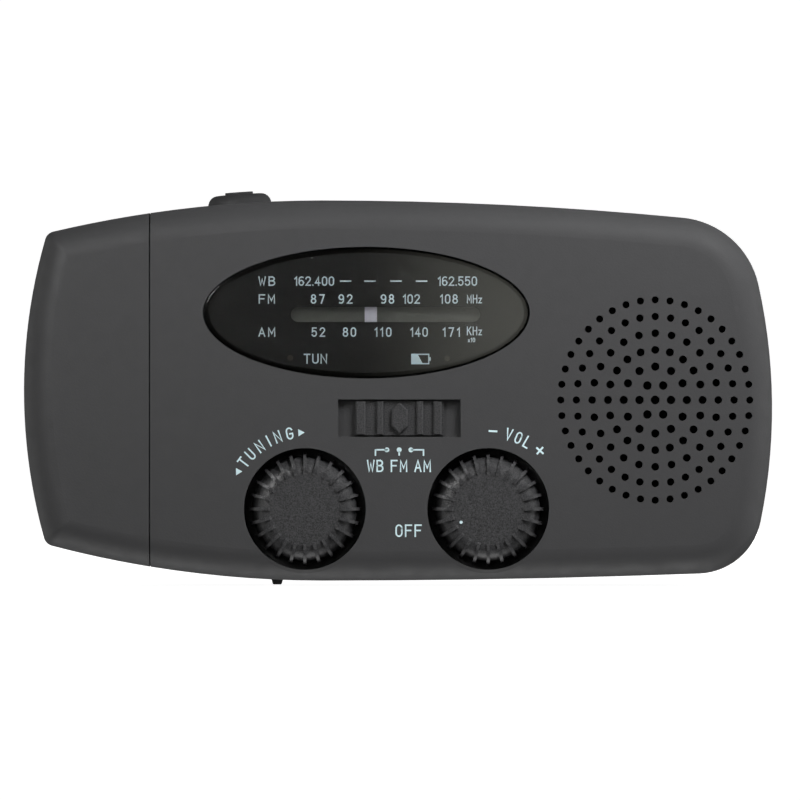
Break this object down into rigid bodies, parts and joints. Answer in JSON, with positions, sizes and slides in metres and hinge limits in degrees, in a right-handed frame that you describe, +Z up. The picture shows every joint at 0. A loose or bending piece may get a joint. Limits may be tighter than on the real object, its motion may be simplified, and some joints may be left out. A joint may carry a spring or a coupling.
{
  "type": "emergency radio",
  "caption": "Pocket wind-up radio with dial, knobs, band switch, loudspeaker, solar panel, torch, folding crank and telescopic antenna.",
  "frame": {"origin": "on the surface it stands on, under the middle of its box", "axes": "+X to the user's right, +Y to the radio's back, +Z up"},
  "size_m": [0.128, 0.045, 0.0679],
  "materials": {
    "case": "soft-touch charcoal plastic",
    "clear": "clear moulded plastic",
    "dial_glass": "smoked clear plastic, polished",
    "reflector": "metallised reflector",
    "lamp": "clear epoxy lamp",
    "circuit_board": "green solder mask",
    "rubber": "matt black rubber",
    "black_plastic": "black moulded plastic",
    "solar_cell": "dark blue silicon cells",
    "dial_black": "black printed film",
    "indicator": "unlit indicator lamp",
    "dial_grey": "olive grey plastic",
    "pointer": "white plastic",
    "knob": "fine-textured black plastic",
    "gear_plastic": "natural acetal",
    "steel": "plated steel",
    "chrome": "bright chrome plating",
    "ferrite": "dark grey ceramic",
    "copper": "enamelled copper winding",
    "felt": "thin black felt",
    "paper": "pressed paper cone",
    "brass": "turned brass",
    "cell_wrap": "shrink-wrapped cell",
    "crank_plastic": "black moulded plastic"
  },
  "bodies": {
    "root": {"front_shell": "case", "rear_shell": "case", "torch_head": "case", "torch_lens": "clear", "solar_window": "clear", "dial_window": "dial_glass", "torch_reflector": "reflector", "torch_lamps": "lamp", "torch_board": "circuit_board", "main_board": "circuit_board", "port_board": "circuit_board", "torch_switch": "black_plastic", "band_switch": "black_plastic", "tuning_capacitor": "black_plastic", "volume_control": "black_plastic", "battery_holder": "black_plastic", "solar_panel": "solar_cell", "dial_mask": "dial_black", "indicator_lamps": "indicator", "dial_plate": "dial_grey", "gearbox_plate": "gear_plastic", "gear_axles": "steel", "plate_screws": "steel", "case_screws": "steel", "generator_can": "steel", "antenna_pin": "steel", "speaker_frame": "steel", "usb_sockets": "steel", "ferrite_rod": "ferrite", "ferrite_coil": "copper", "speaker_felt": "felt", "speaker_cone": "paper", "crank_bush": "brass", "battery_cell": "cell_wrap", "antenna_base": "crank_plastic"},
    "tuning": {"tuning_knob": "knob", "tuning_shaft": "steel"},
    "tuning_idler": {"tuning_idler": "gear_plastic"},
    "rack_idler": {"rack_idler": "gear_plastic"},
    "pointer": {"dial_pointer": "pointer", "pointer_rack": "black_plastic"},
    "volume": {"volume_knob": "knob", "volume_shaft": "steel"},
    "band": {"band_slider": "knob"},
    "button": {"torch_button": "rubber"},
    "crank": {"crank_arm": "crank_plastic", "crank_shaft": "steel", "crank_gear": "gear_plastic", "crank_screw": "steel", "grip_pin": "steel"},
    "grip_fold": {"grip_spindle": "steel"},
    "grip": {"crank_grip": "crank_plastic"},
    "first_gear": {"first_gear": "gear_plastic"},
    "second_gear": {"second_gear": "gear_plastic"},
    "rotor": {"generator_rotor": "steel"},
    "antenna_1": {"antenna_section_1": "chrome"},
    "antenna_2": {"antenna_section_2": "chrome"},
    "antenna_3": {"antenna_section_3": "chrome"},
    "antenna_4": {"antenna_section_4": "chrome"},
    "cover": {"port_cover": "rubber"}
  },
  "joints": [
    {"name": "tuning_knob_turn", "type": "hinge", "parent": "root", "child": "tuning", "pos_m": [-0.0159, -0.018, 0.0133], "axis": [0, 1, 0], "range_deg": [-125, 175]},
    {"name": "tuning_idler_turn", "type": "hinge", "parent": "root", "child": "tuning_idler", "pos_m": [-0.01613, -0.014, 0.0245], "axis": [0, 1, 0], "range_deg": [-180, 130]},
    {"name": "rack_idler_turn", "type": "hinge", "parent": "root", "child": "rack_idler", "pos_m": [-0.014, -0.014, 0.0359], "axis": [0, 1, 0], "range_deg": [-120, 166]},
    {"name": "pointer_slide", "type": "slide", "parent": "root", "child": "pointer", "axis": [1, 0, 0], "range_m": [-0.0124, 0.0173]},
    {"name": "volume_knob_turn", "type": "hinge", "parent": "root", "child": "volume", "pos_m": [0.0154, -0.018, 0.0133], "axis": [0, 1, 0], "range_deg": [0, 300]},
    {"name": "band_switch_slide", "type": "slide", "parent": "root", "child": "band", "axis": [1, 0, 0], "range_m": [-0.0025, 0.0025]},
    {"name": "torch_button_press", "type": "slide", "parent": "root", "child": "button", "axis": [0.071, 0, -0.9975], "range_m": [0, 0.0009], "stiffness_N_per_m": 800},
    {"name": "crank_spin", "type": "hinge", "parent": "root", "child": "crank", "pos_m": [-0.008, 0.014, 0.03], "axis": [0, 1, 0], "continuous": true},
    {"name": "crank_grip_fold", "type": "hinge", "parent": "crank", "child": "grip_fold", "pos_m": [0.01, 0.0196, 0.03], "axis": [0, 0, -1], "range_deg": [0, 90]},
    {"name": "crank_grip_spin", "type": "hinge", "parent": "grip_fold", "child": "grip", "pos_m": [0, 0.0196, 0.03], "axis": [-1, 0, 0], "continuous": true},
    {"name": "first_gear_spin", "type": "hinge", "parent": "root", "child": "first_gear", "pos_m": [0.00686, 0.007, 0.02142], "axis": [0, 1, 0], "continuous": true},
    {"name": "second_gear_spin", "type": "hinge", "parent": "root", "child": "second_gear", "pos_m": [0.01222, 0.005, 0.03614], "axis": [0, 1, 0], "continuous": true},
    {"name": "rotor_spin", "type": "hinge", "parent": "root", "child": "rotor", "pos_m": [0.01096, 0.004, 0.05054], "axis": [0, 1, 0], "continuous": true},
    {"name": "antenna_raise", "type": "hinge", "parent": "root", "child": "antenna_1", "pos_m": [-0.0345, 0.018, 0.0584], "axis": [0, -1, 0], "range_deg": [0, 90]},
    {"name": "antenna_slide_1", "type": "slide", "parent": "antenna_1", "child": "antenna_2", "axis": [1, 0, 0], "range_m": [0, 0.07]},
    {"name": "antenna_slide_2", "type": "slide", "parent": "antenna_2", "child": "antenna_3", "axis": [1, 0, 0], "range_m": [0, 0.07]},
    {"name": "antenna_slide_3", "type": "slide", "parent": "antenna_3", "child": "antenna_4", "axis": [1, 0, 0], "range_m": [0, 0.07]},
    {"name": "port_cover_open", "type": "hinge", "parent": "root", "child": "cover", "pos_m": [-0.021, 0.0125, 0.00095], "axis": [1, 0, 0], "range_deg": [0, 110]}
  ],
  "couplings": [
    {"joint": "tuning_idler_turn", "follows": "tuning_knob_turn", "ratio": -1},
    {"joint": "rack_idler_turn", "follows": "tuning_knob_turn", "ratio": 0.93333},
    {"joint": "pointer_slide", "follows": "tuning_knob_turn", "m_per_rad": 0.0056},
    {"joint": "first_gear_spin", "follows": "crank_spin", "ratio": -3.75},
    {"joint": "second_gear_spin", "follows": "crank_spin", "ratio": 12.5},
    {"joint": "rotor_spin", "follows": "crank_spin", "ratio": -37.5}
  ]
}
